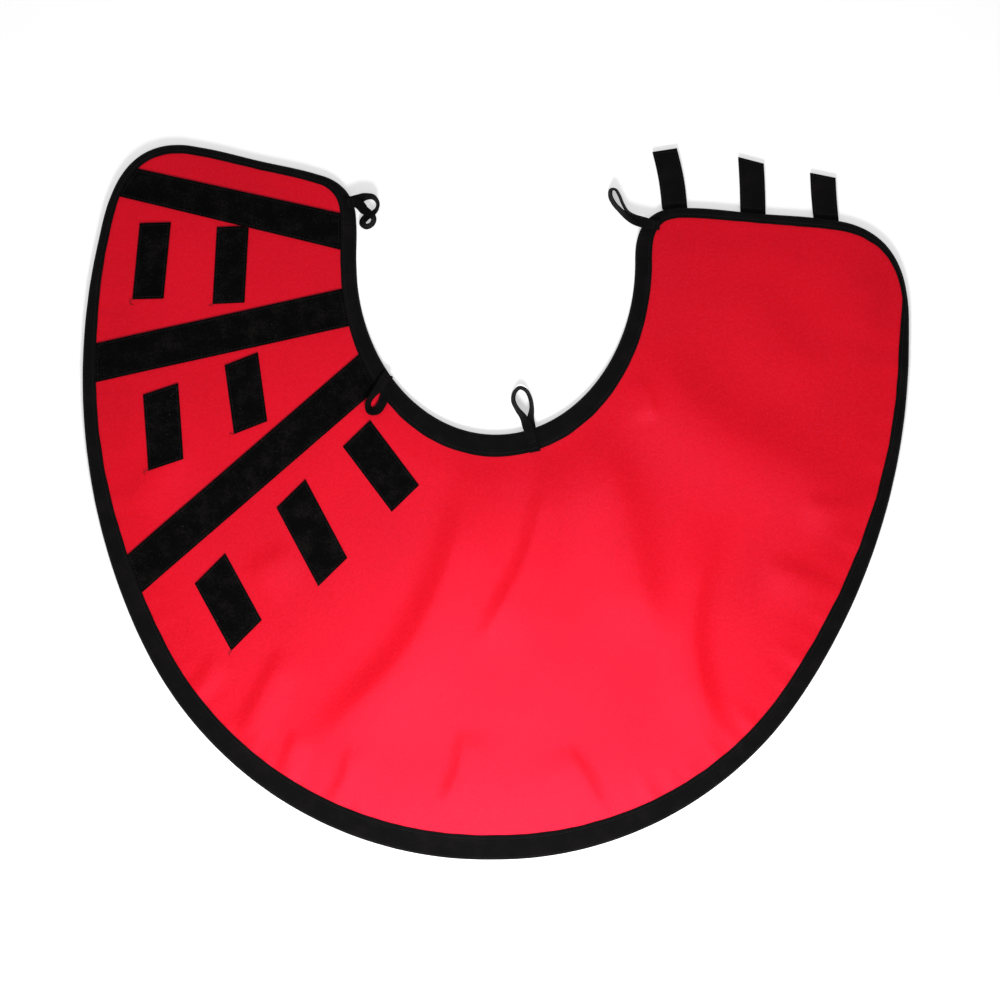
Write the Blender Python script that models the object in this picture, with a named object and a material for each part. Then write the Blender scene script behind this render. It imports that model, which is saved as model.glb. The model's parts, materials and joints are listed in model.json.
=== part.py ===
"""Collar-shaped fire blanket, laid out flat with its face up.

It is cut like a horseshoe, so that it closes into a skirt round a pipe, a post or a neck.
Sizes are in metres. X runs across the blanket, Y from the hem towards the two ends, and Z up.
The Y axis is the line that the blanket folds in half about, and the floor is at Z 0.
"""

import math

import bmesh
import bpy
from mathutils import Vector

# The cut of the cloth
HALF_WIDTH = 0.41375  # fold line to the widest point of either flank
HEM_Y = -0.358  # lowest point of the hem
NECK_HALF_WIDTH = 0.1395
NECK_CENTRE_Y = 0.2393  # the neck is straight above this, and half an ellipse below it
NECK_DEPTH = 0.1715  # height of that half ellipse
FAN_CENTRE = Vector((0.0, 0.228))  # the bands and the rows of patches spread out from here
LEFT_CUT = {
    "hem_flat": 0.010,  # straight stretch of hem next to the fold line
    "hem_turn": 64.4,  # degrees of the hem's arc, after which the flank's arc takes over
    "flank_radius": 0.613,
    "end_y": 0.3194,  # where the end's edge would meet the neck's side
    "end_rise": 13.0,  # degrees that the end's edge climbs away from the neck
    "outer_corner": 0.070,  # length of edge that each rounded corner takes from both sides
    "inner_corner": 0.041,
    # how far the binding covers the face, in order from the fold line's foot to its head
    "cover": {"hem": 0.024, "shoulder": 0.020, "flank": 0.013, "corner": 0.008, "end": 0.008,
              "neck side": 0.015, "neck": 0.022},
}
RIGHT_CUT = {
    "hem_flat": 0.0,
    "hem_turn": 56.3,
    "flank_radius": 0.640,
    "end_y": 0.2993,
    "end_rise": -4.75,
    "outer_corner": 0.072,
    "inner_corner": 0.055,
    "cover": {"hem": 0.024, "shoulder": 0.018, "flank": 0.0095, "corner": 0.0045, "end": 0.009,
              "neck side": 0.016, "neck": 0.022},
}

# Thicknesses and gaps
TAPE = 0.0010  # edge binding, bands and patches
LINING = 0.0008
CORE = 0.0035
SHELL = 0.0008
GAP = 0.0003  # between pieces that lie on each other

BINDING_WIDTH = 0.040  # one tape, unfolded, that is folded over the cloth's raw edge

# Loop tape on the face: (bearing from the fan centre, sideways shift, width at hem, at neck)
BANDS = {
    "fastener_band_1": (167.0, -0.0067, 0.031, 0.036),
    "fastener_band_2": (192.5, 0.0, 0.038, 0.038),
    "fastener_band_3": (220.9, -0.0100, 0.038, 0.038),
}
BAND_REACH = 1.2  # how far a band's blank runs out before it is trimmed at the binding
# (bearing, share of the way from neck to hem, width, length, turn, skew)
PATCHES = {
    "fastener_patch_1_middle": (178.0, 0.479, 0.0320, 0.0771, -1.2, 4.7),
    "fastener_patch_1_outer": (177.8, 0.780, 0.0312, 0.0767, -3.2, 3.8),
    "fastener_patch_2_middle": (205.5, 0.439, 0.0357, 0.0695, -17.7, -4.1),
    "fastener_patch_2_outer": (204.7, 0.730, 0.0369, 0.0762, -20.6, -6.1),
    "fastener_patch_3_inner": (239.1, 0.180, 0.0381, 0.0814, -22.2, -14.9),
    "fastener_patch_3_middle": (234.6, 0.432, 0.0406, 0.0890, -26.6, -10.1),
    "fastener_patch_3_outer": (230.8, 0.727, 0.0431, 0.0761, -22.2, -5.6),
}

# Hook tabs on the right end: (share of the end from neck to flank, length, lean, slant of tip)
TABS = {
    "hook_tab_1": (0.145, 0.0575, 9.5, 8.0),
    "hook_tab_2": (0.431, 0.0520, 7.0, -10.0),
    "hook_tab_3": (0.698, 0.0430, 9.0, -6.5),
}
TAB_WIDTH = 0.0255
TAB_WEBBING = 0.0012
HOOK_STRIP = 0.0014
HOOK_MARGIN = 0.0030  # bare webbing at the root of the tab
TAB_UNDERSIDE = 0.0002  # height of the hooks over the floor

# Tape loops at the neck. bearing: from the neck's centre to where the loop is sewn on.
# inset: how far the loop's root lies in from the neck's edge. heading: direction of its bar.
# ring and eyes: (along the heading, to its left, half length, half width, own turn).
LOOPS = {
    "neck_loop_1": {
        "side": "left", "bearing": 157.1, "inset": -0.0015, "heading": -20.0,
        "bar": (0.0110, 0.0100), "ring": (0.0160, -0.0030, 0.0172, 0.0105, -62.0),
        "eyes": [(0.0170, 0.0025, 0.0060, 0.0048, -62.0), (0.0183, -0.0123, 0.0036, 0.0040, -62.0)],
        "tail": (0.0150, 0.0100, 0.0),
    },
    "neck_loop_2": {
        "side": "left", "bearing": 227.9, "inset": 0.0145, "heading": 246.4,
        "bar": (0.0070, 0.0100), "ring": (0.0165, 0.0005, 0.0155, 0.0098, 0.0),
        "eyes": [(0.0150, 0.0, 0.0085, 0.0044, -10.0)],
        "tail": (0.0125, 0.0105, -10.0),
    },
    "neck_loop_3": {
        "side": "right", "bearing": -78.2, "inset": -0.0015, "heading": 99.0,
        "bar": (0.0150, 0.0100), "ring": (0.0285, 0.0030, 0.0172, 0.0105, 10.0),
        "eyes": [(0.0290, 0.0030, 0.0128, 0.0056, 10.0)],
        "tail": (0.0245, 0.0110, 3.0),
    },
    "neck_loop_4": {
        "side": "right", "bearing": 14.6, "inset": -0.0015, "heading": 141.0,
        "bar": (0.0305, 0.0050), "ring": (0.0388, -0.0046, 0.0118, 0.0066, -20.0),
        "eyes": [(0.0392, -0.0047, 0.0080, 0.0034, -20.0)],
        "tail": (0.0140, 0.0100, 34.0),
    },
}
LOOP_RING = 0.0022  # thickness
LOOP_BAR = 0.0018  # thickness of the bar and the sewn tail

FOLD_CLEARANCE = 0.0012  # from the highest piece on the face up to the fold's axis

# Fineness of the curves
ARC_STEP = 5.0  # degrees
CORNER_STEPS = 6
ELLIPSE_STEPS = 10
OVAL_POINTS = 24
ROOT_STEPS = 6

# Heights of the layers, from the floor up
LINING_Z = TAPE + GAP
CORE_Z = LINING_Z + LINING + GAP
SHELL_Z = CORE_Z + CORE + GAP
FACE_Z = SHELL_Z + SHELL + GAP
HEIGHT = FACE_Z + TAPE
LOOP_Z = HEIGHT + GAP + LOOP_RING / 2
FOLD_AXIS_Z = LOOP_Z + LOOP_RING / 2 + FOLD_CLEARANCE
TAB_Z = TAB_UNDERSIDE + HOOK_STRIP + GAP + TAB_WEBBING / 2

COLOURS = {
    "red": ((0.62, 0.006, 0.010, 1.0), 0.80),
    "binding": ((0.006, 0.005, 0.006, 1.0), 0.70),
    "loop tape": ((0.004, 0.004, 0.004, 1.0), 0.90),
    "hooks": ((0.006, 0.006, 0.006, 1.0), 0.55),
    "felt": ((0.55, 0.53, 0.48, 1.0), 0.95),
    "lining": ((0.30, 0.30, 0.31, 1.0), 0.85),
}


class Edge:
    """The cut edge of one half, as stations from the hem's end of the fold line round to the neck's.

    Each station has its place, the direction into the cloth, and how far the binding covers the face.
    """

    def __init__(self, cut, mirrored):
        sign = -1.0 if mirrored else 1.0
        points, faces, self.neck_start = stations(cut)
        self.points = [Vector((sign * p.x, p.y)) for p in points]
        self.faces = faces
        self.inward = []
        for i, here in enumerate(self.points):
            before = self.points[max(i - 1, 0)]
            after = self.points[min(i + 1, len(points) - 1)]
            ahead = (here - before).normalized() + (after - here).normalized()
            if i in (0, len(points) - 1):  # the edge crosses the fold line squarely
                ahead = Vector((sign if i == 0 else -sign, 0.0))
            ahead.normalize()
            self.inward.append(Vector((-ahead.y, ahead.x)) * sign)
        self.points[0].x = self.points[-1].x = sign * GAP / 2

    def inset(self, depths):
        return [p + n * d for p, n, d in zip(self.points, self.inward, depths)]

    def outline(self, depth):
        """The cloth's outline, this far inside the edge."""
        return self.inset([depth] * len(self.points))

    def window(self):
        """What the binding leaves of the face."""
        return self.inset([face + GAP for face in self.faces])

    def hit(self, origin, bearing, furthest=False):
        """Where a ray from origin meets the edge, and the edge's direction there, left to right."""
        way = Vector((math.cos(math.radians(bearing)), math.sin(math.radians(bearing))))
        found = []
        for a, b in zip(self.points, self.points[1:]):
            span = b - a
            cross = way.x * span.y - way.y * span.x
            if abs(cross) < 1e-12:
                continue
            reach = ((a.x - origin.x) * span.y - (a.y - origin.y) * span.x) / cross
            share = ((a.x - origin.x) * way.y - (a.y - origin.y) * way.x) / cross
            if reach > 0 and 0 <= share <= 1:
                along = span.normalized()
                found.append((reach, origin + way * reach, along if along.x > 0 else -along))
        found.sort(key=lambda one: one[0])
        return found[-1 if furthest else 0]


def blend(a, b, share):
    share = min(max(share, 0.0), 1.0)
    return a + (b - a) * share * share * (3 - 2 * share)


def rounded(start, corner, end):
    """A corner cut back to a smooth bend, without its first point."""
    for i in range(1, CORNER_STEPS + 1):
        t = i / CORNER_STEPS
        yield start * (1 - t) ** 2 + corner * 2 * t * (1 - t) + end * t**2


def stations(cut):
    """Points along the edge of one half, at +X, with the binding's cover of the face at each."""
    turn = math.radians(cut["hem_turn"])
    flank_radius = cut["flank_radius"]
    hem_radius = flank_radius + (HALF_WIDTH - cut["hem_flat"] - flank_radius) / math.sin(turn)
    hem_centre = Vector((cut["hem_flat"], HEM_Y + hem_radius))
    flank_centre = hem_centre + Vector((math.sin(turn), -math.cos(turn))) * (hem_radius - flank_radius)

    def arc(centre, radius, angle):
        return centre + Vector((math.sin(angle), -math.cos(angle))) * radius

    # The outer corner, where the end's straight edge would meet the flank
    inner_corner = Vector((NECK_HALF_WIDTH, cut["end_y"]))
    rise = math.radians(cut["end_rise"])
    out = Vector((math.cos(rise), math.sin(rise)))
    offset = inner_corner - flank_centre
    middle = -offset.dot(out)
    reach = middle + math.sqrt(middle**2 - offset.length_squared + flank_radius**2)
    outer_corner = inner_corner + out * reach
    to_corner = outer_corner - flank_centre
    corner_angle = math.atan2(to_corner.x, -to_corner.y)
    last_angle = corner_angle - cut["outer_corner"] / flank_radius

    cover = cut["cover"]
    points, faces = [Vector((0.0, HEM_Y))], [cover["hem"]]

    def add(point, face):
        points.append(point)
        faces.append(face)

    hem_steps = math.ceil(cut["hem_turn"] / ARC_STEP)
    for i in range(0 if cut["hem_flat"] else 1, hem_steps + 1):
        share = i / hem_steps
        add(arc(hem_centre, hem_radius, turn * share), blend(cover["hem"], cover["shoulder"], share))
    widest = math.pi / 2
    for start, stop, near, far in (
        (turn, widest, cover["shoulder"], cover["flank"]),
        (widest, last_angle, cover["flank"], cover["corner"]),
    ):
        steps = math.ceil(math.degrees(stop - start) / ARC_STEP)
        for i in range(1, steps + 1):
            share = i / steps
            add(arc(flank_centre, flank_radius, start + (stop - start) * share), blend(near, far, share))
    corner_stop = outer_corner - out * cut["outer_corner"]
    for i, point in enumerate(rounded(points[-1], outer_corner, corner_stop), start=1):
        add(point, blend(cover["corner"], cover["end"], i / CORNER_STEPS))
    end_stop = inner_corner + out * cut["inner_corner"]
    add((points[-1] + end_stop) / 2, cover["end"])
    add(end_stop, cover["end"])
    side_top = inner_corner - Vector((0.0, cut["inner_corner"]))
    for i, point in enumerate(rounded(end_stop, inner_corner, side_top), start=1):
        add(point, blend(cover["end"], cover["neck side"], i / CORNER_STEPS))
    neck_start = len(points) - 1
    for i in range(ELLIPSE_STEPS + 1):
        angle = math.pi / 2 * i / ELLIPSE_STEPS
        point = Vector((NECK_HALF_WIDTH * math.cos(angle), NECK_CENTRE_Y - NECK_DEPTH * math.sin(angle)))
        add(point, blend(cover["neck side"], cover["neck"], i / ELLIPSE_STEPS))
    return points, faces, neck_start


def clear_scene():
    for obj in list(bpy.data.objects):
        bpy.data.objects.remove(obj, do_unlink=True)


def make_collection(name):
    made = bpy.data.collections.new(name)
    bpy.context.scene.collection.children.link(made)
    return made


def make_material(name):
    colour, roughness = COLOURS[name]
    made = bpy.data.materials.new(name)
    made.use_nodes = True
    shader = made.node_tree.nodes["Principled BSDF"]
    shader.inputs["Base Color"].default_value = colour
    shader.inputs["Roughness"].default_value = roughness
    shader.inputs["Metallic"].default_value = 0.0
    return made


class Workshop:
    """Makes objects in the blanket's collection, or in the one that holds the cutters."""

    def __init__(self):
        self.pieces = make_collection("fire_blanket")
        self.cutters = make_collection("cutters")
        self.cutters.hide_render = True
        self.materials = {name: make_material(name) for name in COLOURS}

    def empty(self, name, place, parent=None, turn=0.0):
        made = bpy.data.objects.new(name, None)
        made.empty_display_size = 0.02
        self.pieces.objects.link(made)
        made.location = place
        made.rotation_euler.z = turn
        made.parent = parent
        return made

    def add(self, name, mesh, place, parent, material):
        """A piece of the blanket at a place in its parent's frame."""
        made = bpy.data.objects.new(name, mesh)
        mesh.materials.append(self.materials[material])
        self.pieces.objects.link(made)
        made.location = place
        made.parent = parent
        return made

    def cutter(self, name, mesh, place=(0.0, 0.0, 0.0), parent=None):
        made = bpy.data.objects.new(name, mesh)
        self.cutters.objects.link(made)
        made.location = place
        made.parent = parent
        made.hide_render = True
        made.display_type = "WIRE"
        return made


def slab(name, outlines, thickness):
    """A flat piece centred on Z 0: its outline, with any eyes after it, extruded to a thickness."""
    curve = bpy.data.curves.new(name, "CURVE")
    curve.dimensions = "2D"
    curve.fill_mode = "BOTH"
    curve.extrude = thickness / 2
    for outline in outlines:
        spline = curve.splines.new("POLY")
        spline.points.add(len(outline) - 1)
        for point, (x, y) in zip(spline.points, outline):
            point.co = (x, y, 0.0, 1.0)
        spline.use_cyclic_u = True
    scratch = bpy.data.objects.new(name, curve)
    bpy.context.scene.collection.objects.link(scratch)
    bpy.context.view_layer.update()
    mesh = bpy.data.meshes.new_from_object(scratch.evaluated_get(bpy.context.evaluated_depsgraph_get()))
    bpy.data.objects.remove(scratch, do_unlink=True)
    shape = bmesh.new()
    shape.from_mesh(mesh)
    bmesh.ops.remove_doubles(shape, verts=shape.verts, dist=1e-6)
    bmesh.ops.recalc_face_normals(shape, faces=shape.faces)
    shape.to_mesh(mesh)
    shape.free()
    mesh.name = name
    mesh.materials.clear()
    return mesh


def boolean(obj, other, operation):
    modifier = obj.modifiers.new(f"{operation.lower()} {other.name}", "BOOLEAN")
    modifier.operation = operation
    modifier.object = other
    modifier.solver = "EXACT"


def binding_mesh(name, edge, first, last, gap_first, gap_last):
    """The folded tape between two stations: a U-section whose two legs change width as it runs.

    gap_first and gap_last pull its ends back along the edge.
    """
    shape = bmesh.new()
    rings = []
    for i in range(first, last + 1):
        place, inward = edge.points[i], edge.inward[i]
        if i == first:
            place = place + (edge.points[i + 1] - place).normalized() * gap_first
        if i == last:
            place = place + (edge.points[i - 1] - place).normalized() * gap_last
        face = edge.faces[i]
        back = BINDING_WIDTH - HEIGHT - face
        section = [
            (0.0, 0.0), (0.0, HEIGHT), (face, HEIGHT), (face, HEIGHT - TAPE),
            (TAPE, HEIGHT - TAPE), (TAPE, TAPE), (back, TAPE), (back, 0.0),
        ]
        ring = []
        for depth, z in section:
            at = place + inward * depth
            ring.append(shape.verts.new((at.x, at.y, z)))
        rings.append(ring)
    for here, there in zip(rings, rings[1:]):
        for j in range(len(here)):
            k = (j + 1) % len(here)
            shape.faces.new((here[j], here[k], there[k], there[j]))
    shape.faces.new(rings[0])
    shape.faces.new(rings[-1])
    bmesh.ops.recalc_face_normals(shape, faces=shape.faces)
    mesh = bpy.data.meshes.new(name)
    shape.to_mesh(mesh)
    shape.free()
    return mesh


def make_half(shop, side, edge, parent, drop):
    """The layers of one half and the tape round its edge. drop: how far the parent lies over the floor."""
    inside = TAPE + GAP
    layers = (
        ("back_lining", LINING_Z, LINING, "lining"),
        ("insulation_core", CORE_Z, CORE, "felt"),
        ("outer_shell", SHELL_Z, SHELL, "red"),
    )
    for layer, z, thickness, material in layers:
        name = f"{layer}_{side}"
        mesh = slab(name, [edge.outline(inside)], thickness)
        shop.add(name, mesh, (0.0, 0.0, z + thickness / 2 - drop), parent, material)
    last = len(edge.points) - 1
    runs = (("hem_binding", 0, edge.neck_start, 0.0, GAP), ("neck_binding", edge.neck_start, last, 0.0, 0.0))
    for run, start, stop, gap_start, gap_stop in runs:
        name = f"{run}_{side}"
        mesh = binding_mesh(name, edge, start, stop, gap_start, gap_stop)
        shop.add(name, mesh, (0.0, 0.0, -drop), parent, "binding")


def make_fastener_tape(shop, edge, parent):
    """The long bands and the short patches of loop tape on the face of the left half."""
    z = FACE_Z + TAPE / 2
    window = shop.cutter("face_window", slab("face_window", [edge.window()], TAPE * 4), (0.0, 0.0, z))
    clearances = []
    for name, (bearing, shift, hem_width, neck_width) in BANDS.items():
        way = Vector((math.cos(math.radians(bearing)), math.sin(math.radians(bearing))))
        left = Vector((-way.y, way.x))
        neck_reach, _, _ = edge.hit(FAN_CENTRE, bearing)
        hem_reach, _, _ = edge.hit(FAN_CENTRE, bearing, furthest=True)

        def blank(extra):
            corners = []
            for side in (1.0, -1.0):
                near = left * (shift + side * (neck_width / 2 + extra)) + way * neck_reach / 2
                at_neck = left * (shift + side * (neck_width / 2 + extra)) + way * neck_reach
                at_hem = left * (shift + side * (hem_width / 2 + extra)) + way * hem_reach
                far = at_neck + (at_hem - at_neck) * BAND_REACH
                corners += [near, at_neck, far] if side > 0 else [far, at_neck, near]
            return [FAN_CENTRE + corner for corner in corners]

        band = shop.add(name, slab(name, [blank(0.0)], TAPE), (0.0, 0.0, z), parent, "loop tape")
        boolean(band, window, "INTERSECT")
        room = f"{name}_room"
        clearances.append(shop.cutter(room, slab(room, [blank(GAP)], TAPE * 3), (0.0, 0.0, z)))
    for name, (bearing, share, width, length, turn, skew) in PATCHES.items():
        neck_reach, start, _ = edge.hit(FAN_CENTRE, bearing)
        hem_reach, stop, _ = edge.hit(FAN_CENTRE, bearing, furthest=True)
        centre = start + (stop - start) * share
        along = math.radians(bearing + 90 + turn)
        across = math.radians(bearing + skew)
        u = Vector((math.cos(across), math.sin(across))) * width / 2
        v = Vector((math.cos(along), math.sin(along))) * length / 2
        mesh = slab(name, [[u + v, v - u, -u - v, u - v]], TAPE)
        patch = shop.add(name, mesh, (centre.x, centre.y, z), parent, "loop tape")
        boolean(patch, window, "INTERSECT")
        for room in clearances:
            boolean(patch, room, "DIFFERENCE")


def root_profile(thickness, reach, width):
    """A prism along X whose side view is a strip with a half-round root on the hinge's axis."""
    radius = thickness / 2
    outline = [(reach, -radius), (reach, radius)]
    for i in range(ROOT_STEPS + 1):
        angle = math.pi / 2 + math.pi * i / ROOT_STEPS
        outline.append((radius * math.cos(angle), radius * math.sin(angle)))
    mesh = slab("root_profile", [outline], width)
    # The drawing's X becomes the strip's run along Y, its Y becomes height, and its depth lies along X
    for vertex in mesh.vertices:
        run, height, depth = vertex.co
        vertex.co = (depth, run, height)
    return mesh


def make_tab(shop, name, edge, parent, drop):
    share, length, lean, slant = TABS[name]
    x = NECK_HALF_WIDTH + (HALF_WIDTH - NECK_HALF_WIDTH) * share
    _, place, along = edge.hit(Vector((x, NECK_CENTRE_Y)), 90.0)
    root = TAB_WEBBING / 2
    outward = Vector((-along.y, along.x))
    hinge_at = place + outward * (root + GAP)
    turn = math.atan2(along.y, along.x)
    hinge = shop.empty(f"{name}_hinge", (hinge_at.x, hinge_at.y, TAB_Z - drop), parent, turn)

    def plan(start):
        """The strip seen from above: it leans to the left, and its tip is cut at a slant."""
        sideways = math.tan(math.radians(lean))
        tip = math.tan(math.radians(slant)) * TAB_WIDTH / 2
        corners = [(-1, start), (1, start), (1, length + tip), (-1, length - tip)]
        return [(side * TAB_WIDTH / 2 - run * sideways, run) for side, run in corners]

    webbing = shop.add(name, slab(name, [plan(-root)], TAB_WEBBING * 3), (0.0, 0.0, 0.0), hinge, "binding")
    profile = shop.cutter(f"{name}_root", root_profile(TAB_WEBBING, length * 2, length * 2), parent=hinge)
    boolean(webbing, profile, "INTERSECT")
    hooks = f"{name}_hooks"
    z = -TAB_WEBBING / 2 - GAP - HOOK_STRIP / 2
    shop.add(hooks, slab(hooks, [plan(HOOK_MARGIN)], HOOK_STRIP), (0.0, 0.0, z), hinge, "hooks")


def oval(along, left, half_length, half_width, turn):
    """An ellipse in a loop's own frame, where Y is the heading and X its right."""
    slope = math.radians(turn)
    points = []
    for i in range(OVAL_POINTS):
        angle = 2 * math.pi * i / OVAL_POINTS
        run = half_length * math.cos(angle)
        side = half_width * math.sin(angle)
        y = along + run * math.cos(slope) - side * math.sin(slope)
        x = -left - run * math.sin(slope) - side * math.cos(slope)
        points.append((x, y))
    return points


def make_loop(shop, name, edge, parent, drop):
    """A loop of narrow tape on its hinge, and the tail that is sewn down on the binding."""
    loop = LOOPS[name]
    _, place, along = edge.hit(Vector((0.0, NECK_CENTRE_Y)), loop["bearing"])
    into_cloth = Vector((along.y, -along.x))
    if into_cloth.dot(place - Vector((0.0, NECK_CENTRE_Y))) < 0:
        into_cloth.negate()
    hinge_at = place + into_cloth * loop["inset"]
    heading = math.radians(loop["heading"] - 90)
    hinge = shop.empty(f"{name}_hinge", (hinge_at.x, hinge_at.y, LOOP_Z - drop), parent, heading)

    bar_length, bar_width = loop["bar"]
    root = LOOP_BAR / 2
    ring = shop.add(name, slab(name, [oval(*loop["ring"])] + [oval(*eye) for eye in loop["eyes"]], LOOP_RING),
                    (0.0, 0.0, 0.0), hinge, "binding")
    half = bar_width / 2
    bar_outline = [(-half, -root), (half, -root), (half, bar_length), (-half, bar_length)]
    bar = shop.cutter(f"{name}_bar", slab(f"{name}_bar", [bar_outline], LOOP_BAR * 2), parent=hinge)
    profile = shop.cutter(f"{name}_root", root_profile(LOOP_BAR, bar_length * 2, bar_width * 2), parent=hinge)
    boolean(bar, profile, "INTERSECT")
    boolean(ring, bar, "UNION")

    tail_length, tail_width, tail_turn = loop["tail"]
    half = tail_width / 2
    start = -root - GAP
    bend = math.tan(math.radians(tail_turn))
    end = start - tail_length
    rounding = half * 0.5
    tail_outline = [(half, start), (-half, start)]
    for side, run in ((-half, end + rounding), (-rounding, end), (rounding, end), (half, end + rounding)):
        tail_outline.append((side - (run - start) * bend, run))
    tail = f"{name}_tail"
    tail_hinge_free = (hinge_at.x, hinge_at.y, LOOP_Z - drop)
    made = shop.add(tail, slab(tail, [tail_outline], LOOP_BAR), tail_hinge_free, parent, "binding")
    made.rotation_euler.z = heading


def main():
    clear_scene()
    shop = Workshop()
    left = Edge(LEFT_CUT, mirrored=True)
    right = Edge(RIGHT_CUT, mirrored=False)
    make_half(shop, "left", left, None, 0.0)
    make_fastener_tape(shop, left, None)
    fold = shop.empty("fold_hinge", (0.0, 0.0, FOLD_AXIS_Z))
    make_half(shop, "right", right, fold, FOLD_AXIS_Z)
    for name in TABS:
        make_tab(shop, name, right, fold, FOLD_AXIS_Z)
    for name, loop in LOOPS.items():
        on_left = loop["side"] == "left"
        make_loop(shop, name, left if on_left else right, None if on_left else fold, 0.0 if on_left else FOLD_AXIS_Z)


main()
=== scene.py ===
import json
import math

import bmesh
import bpy
import numpy as np
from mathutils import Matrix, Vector, noise
from mathutils.bvhtree import BVHTree
from mathutils.kdtree import KDTree


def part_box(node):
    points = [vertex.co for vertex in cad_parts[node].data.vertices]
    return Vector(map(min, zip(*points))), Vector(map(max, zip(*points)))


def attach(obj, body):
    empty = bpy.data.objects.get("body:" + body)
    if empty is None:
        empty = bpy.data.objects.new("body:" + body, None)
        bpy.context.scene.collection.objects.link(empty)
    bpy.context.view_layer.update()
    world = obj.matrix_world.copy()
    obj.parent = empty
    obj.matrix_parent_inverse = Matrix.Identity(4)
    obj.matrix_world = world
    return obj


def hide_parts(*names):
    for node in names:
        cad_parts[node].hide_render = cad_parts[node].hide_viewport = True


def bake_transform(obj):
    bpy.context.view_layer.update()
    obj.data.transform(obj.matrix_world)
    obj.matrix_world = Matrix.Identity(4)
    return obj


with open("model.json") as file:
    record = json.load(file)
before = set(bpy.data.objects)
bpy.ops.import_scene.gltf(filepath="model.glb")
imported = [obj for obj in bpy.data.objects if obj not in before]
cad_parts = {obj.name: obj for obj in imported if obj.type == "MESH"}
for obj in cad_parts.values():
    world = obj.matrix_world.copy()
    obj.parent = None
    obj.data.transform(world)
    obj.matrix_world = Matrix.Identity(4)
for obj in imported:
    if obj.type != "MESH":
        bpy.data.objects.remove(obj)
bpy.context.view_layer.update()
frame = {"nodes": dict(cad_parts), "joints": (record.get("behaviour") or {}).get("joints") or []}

cadNodes = frame["nodes"]
joints = {joint["name"]: joint for joint in frame["joints"]}
mm = 0.001


def smooth(share):
    share = np.clip(share, 0.0, 1.0)
    return share * share * (3 - 2 * share)


def unit(vectors):
    return vectors / np.maximum(np.linalg.norm(vectors, axis=-1, keepdims=True), 1e-12)


def refine(points, spacing, closed=False):
    # a smooth line through the points, with a point about every spacing
    given = np.asarray(points, float)
    if closed:
        given = np.vstack([given, given[:1]])
    step = np.linalg.norm(np.diff(given[:, :3], axis=0), axis=1)
    slope = np.diff(given, axis=0) / step[:, None]
    before, after = slope[:-1], slope[1:]
    inner = (before * step[1:, None] + after * step[:-1, None]) / (step[:-1] + step[1:])[:, None]
    if closed:
        seam = (slope[-1] * step[0] + slope[0] * step[-1]) / (step[0] + step[-1])
        tangent = np.vstack([seam, inner, seam])
    else:
        tangent = np.vstack([slope[0], inner, slope[-1]])
    line = []
    for i, length in enumerate(step):
        t = np.linspace(0, 1, max(2, int(round(length / spacing)) + 1))[:-1, None]
        a, b = given[i], given[i + 1]
        ta, tb = tangent[i] * length, tangent[i + 1] * length
        line.append(a * (2 * t**3 - 3 * t**2 + 1) + ta * (t**3 - 2 * t**2 + t)
                    + b * (3 * t**2 - 2 * t**3) + tb * (t**3 - t**2))
    return np.vstack(line + [given[-1:]])


class Run:
    # a smooth line that can be asked for the place at a distance along it
    def __init__(self, points, spacing=0.001, closed=False):
        self.points = refine(points, spacing, closed)
        steps = np.linalg.norm(np.diff(self.points[:, :3], axis=0), axis=1)
        self.distance = np.concatenate([[0.0], np.cumsum(steps)])
        self.length = self.distance[-1]
        self.closed = closed

    def at(self, distance):
        distance = np.asarray(distance, float)
        if self.closed:
            distance = distance % self.length
        return np.stack([np.interp(distance, self.distance, column) for column in self.points.T], -1)

    def ahead(self, distance, reach=0.0015):
        distance = np.asarray(distance, float)
        low, high = distance - reach, distance + reach
        if not self.closed:
            low, high = np.maximum(low, 0), np.minimum(high, self.length)
        return unit(self.at(high)[..., :3] - self.at(low)[..., :3])


def topOutline(name):
    # the outline of a flat CAD piece as seen from above, anticlockwise
    shape = bmesh.new()
    shape.from_mesh(cadNodes[name].data)
    bmesh.ops.remove_doubles(shape, verts=shape.verts, dist=1e-6)
    top = max(vert.co.z for vert in shape.verts)
    flat = {face for face in shape.faces if all(abs(vert.co.z - top) < 1e-5 for vert in face.verts)}
    following = {}
    for face in flat:
        for corner in face.loops:
            if sum(other in flat for other in corner.edge.link_faces) == 1:
                following[corner.vert] = corner.link_loop_next.vert
    start = vert = next(iter(following))
    places = []
    while not places or vert != start:
        places.append((vert.co.x, vert.co.y))
        vert = following[vert]
    shape.free()
    return np.array(places)


def halfOutline(side):
    # from the fold line's foot at the hem, round the outside, to its head at the neck
    places = topOutline(f"outer_shell_{side}")
    onFold = np.flatnonzero(abs(places[:, 0]) < 0.0005)
    foot = onFold[places[onFold, 1].argmin()]
    places = np.roll(places, -foot, axis=0)
    if abs(places[1, 0]) < 0.0005:
        places = np.vstack([places[:1], places[:0:-1]])
    places[[0, -1], 0] = 0.0
    return places


leftPlaces, rightPlaces = halfOutline("left"), halfOutline("right")
rim = Run(np.vstack([leftPlaces[::-1], rightPlaces[1:-1]]), closed=True)  # anticlockwise from the neck's foot


def distanceWhere(score):
    return rim.distance[:-1][np.argmax(score(rim.points[:-1, 0], rim.points[:-1, 1]))]


corners = {
    "neck": 0.0,
    "leftInner": distanceWhere(lambda x, y: np.where(x < 0, y + x, -9)),
    "leftOuter": distanceWhere(lambda x, y: np.where(x < 0, y - x, -9)),
    "hem": distanceWhere(lambda x, y: np.where(y < -0.1, -abs(x), -9)),
    "rightOuter": distanceWhere(lambda x, y: np.where(x > 0, y + x, -9)),
    "rightInner": distanceWhere(lambda x, y: np.where(x > 0, y - x, -9)),
}


def nearestOn(indices):
    tree = KDTree(len(indices))
    for index in indices:
        tree.insert((*rim.points[index], 0.0), int(index))
    tree.balance()
    return tree


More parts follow.
